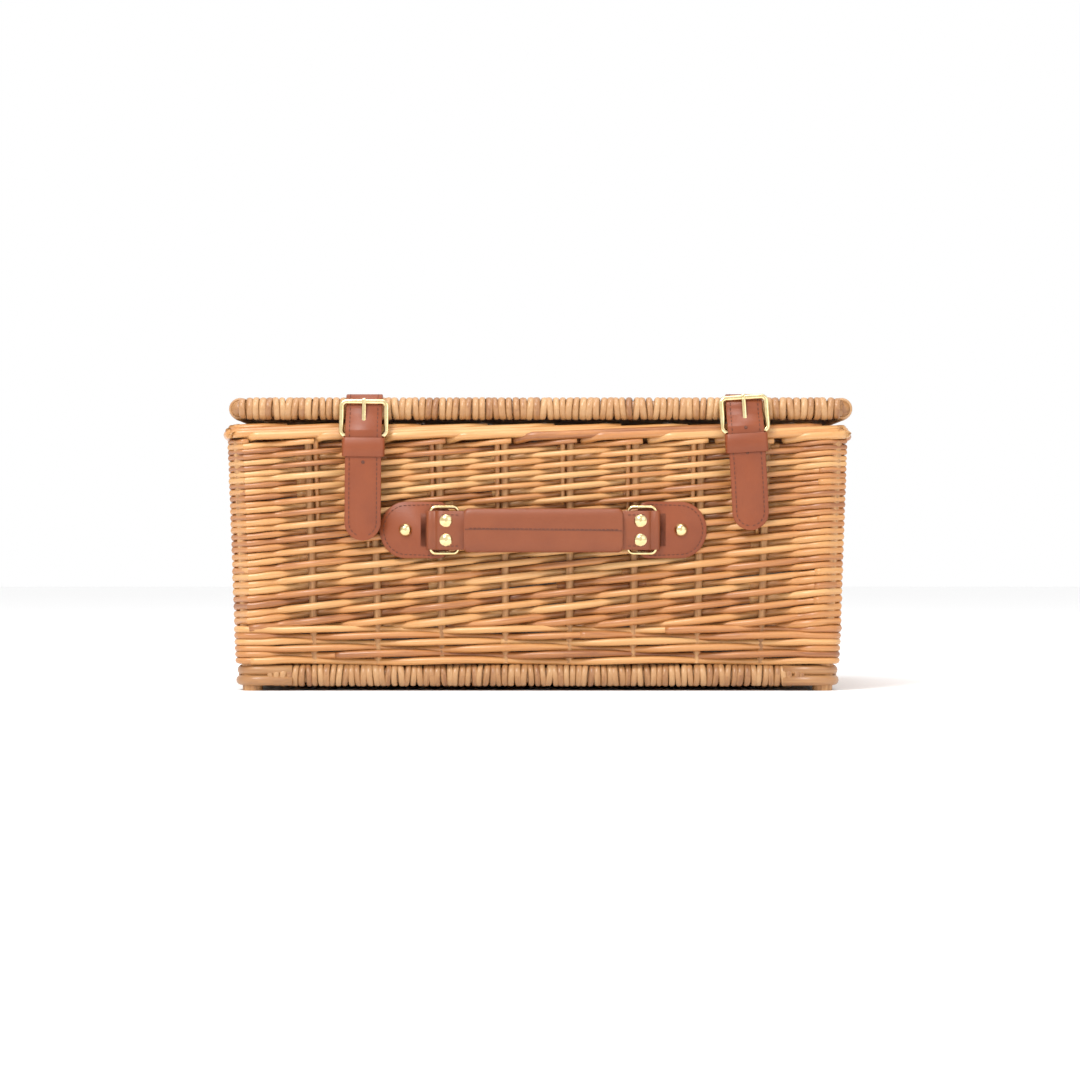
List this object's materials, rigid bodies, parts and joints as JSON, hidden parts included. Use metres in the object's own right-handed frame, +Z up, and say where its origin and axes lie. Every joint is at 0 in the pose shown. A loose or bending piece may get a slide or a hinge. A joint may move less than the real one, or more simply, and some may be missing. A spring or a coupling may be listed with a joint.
{
  "type": "wicker picnic basket",
  "caption": "Rectangular willow basket with hinged lid, cloth lining, two buckled leather straps and a leather carry handle.",
  "frame": {"origin": "middle of the object's box, on the surface that its four corner posts stand on", "axes": "+X to the right seen from the front, +Y to the back, where the hinges are, +Z up"},
  "size_m": [0.446, 0.3266, 0.209],
  "materials": {
    "willow": "satin peeled buff willow rods",
    "stick": "matt willow stick",
    "leather": "smooth tan leather with stitched edges",
    "brass": "polished pale brass plate",
    "lining": "plain grey woven cloth"
  },
  "bodies": {
    "basket": {"base_frame": "willow", "base_weave": "willow", "base_sticks": "stick", "bottom_waling": "willow", "front_weave": "willow", "back_weave": "willow", "left_weave": "willow", "right_weave": "willow", "front_stakes": "stick", "back_stakes": "stick", "left_stakes": "stick", "right_stakes": "stick", "corner_posts": "stick", "corner_wraps": "willow", "top_border": "willow", "lining": "lining", "hinge_strap_left": "leather", "hinge_strap_right": "leather", "hinge_rivets": "brass", "chape_left": "leather", "chape_right": "leather", "chape_rivets": "brass", "patch_left": "leather", "patch_right": "leather", "patch_studs": "brass", "stud_washers": "brass"},
    "lid": {"lid_frame": "willow", "lid_weave": "willow", "lid_sticks": "stick", "strap_top_left": "leather", "strap_top_right": "leather", "strap_rivets": "brass"},
    "strap_left": {"strap_tail_left": "leather"},
    "buckle_left": {"buckle_left": "brass"},
    "prong_left": {"prong_left": "brass"},
    "keeper_left": {"keeper_left": "leather"},
    "ring_left": {"ring_left": "brass"},
    "strap_right": {"strap_tail_right": "leather"},
    "buckle_right": {"buckle_right": "brass"},
    "prong_right": {"prong_right": "brass"},
    "keeper_right": {"keeper_right": "leather"},
    "ring_right": {"ring_right": "brass"},
    "handle": {"handle_strap": "leather", "handle_core": "stick", "handle_grip": "leather", "handle_rivets": "brass"}
  },
  "joints": [
    {"name": "lid_hinge", "type": "hinge", "parent": "basket", "child": "lid", "pos_m": [0, 0.1536, 0.199], "axis": [-1, 0, 0], "range_deg": [0, 105]},
    {"name": "strap_left_lift", "type": "hinge", "parent": "lid", "child": "strap_left", "pos_m": [-0.1218, -0.15295, 0.199], "axis": [-0.9999, 0, 0.0122], "range_deg": [0, 95], "deforming": ["strap_tail_left"]},
    {"name": "buckle_left_tilt", "type": "hinge", "parent": "basket", "child": "buckle_left", "pos_m": [-0.12204, -0.15685, 0.1798], "axis": [0.9999, 0, -0.0122], "range_deg": [0, 57]},
    {"name": "prong_left_swing", "type": "hinge", "parent": "buckle_left", "child": "prong_left", "pos_m": [-0.12204, -0.15685, 0.1798], "axis": [0.9999, 0, -0.0122], "range_deg": [0, 28.5]},
    {"name": "keeper_left_slide", "type": "slide", "parent": "basket", "child": "keeper_left", "axis": [-0.0122, 0, -0.9999], "range_m": [0, 0.004]},
    {"name": "strap_right_lift", "type": "hinge", "parent": "lid", "child": "strap_right", "pos_m": [0.1451, -0.15295, 0.199], "axis": [-0.9981, 0, -0.061], "range_deg": [0, 95], "deforming": ["strap_tail_right"]},
    {"name": "buckle_right_tilt", "type": "hinge", "parent": "basket", "child": "buckle_right", "pos_m": [0.14609, -0.15685, 0.18283], "axis": [0.9981, 0, 0.061], "range_deg": [0, 57]},
    {"name": "prong_right_swing", "type": "hinge", "parent": "buckle_right", "child": "prong_right", "pos_m": [0.14609, -0.15685, 0.18283], "axis": [0.9981, 0, 0.061], "range_deg": [0, 28.5]},
    {"name": "keeper_right_slide", "type": "slide", "parent": "basket", "child": "keeper_right", "axis": [0.061, 0, -0.9981], "range_m": [0, 0.004]},
    {"name": "handle_pull", "type": "slide", "parent": "basket", "child": "handle", "axis": [0, -0.9993, -0.037], "range_m": [0, 0.0075]},
    {"name": "ring_left_turn", "type": "hinge", "parent": "basket", "child": "ring_left", "pos_m": [-0.056, -0.1515, 0.11339], "axis": [0, -0.037, 0.9993], "range_deg": [0, 23.3]},
    {"name": "ring_right_turn", "type": "hinge", "parent": "basket", "child": "ring_right", "pos_m": [0.064, -0.1515, 0.11339], "axis": [0, 0.037, -0.9993], "range_deg": [0, 23.3]}
  ],
  "couplings": [
    {"joint": "buckle_left_tilt", "follows": "strap_left_lift", "ratio": 0.6},
    {"joint": "prong_left_swing", "follows": "strap_left_lift", "ratio": 0.3},
    {"joint": "buckle_right_tilt", "follows": "strap_right_lift", "ratio": 0.6},
    {"joint": "prong_right_swing", "follows": "strap_right_lift", "ratio": 0.3},
    {"joint": "ring_left_turn", "follows": "handle_pull", "rad_per_m": 54},
    {"joint": "ring_right_turn", "follows": "handle_pull", "rad_per_m": 54}
  ]
}
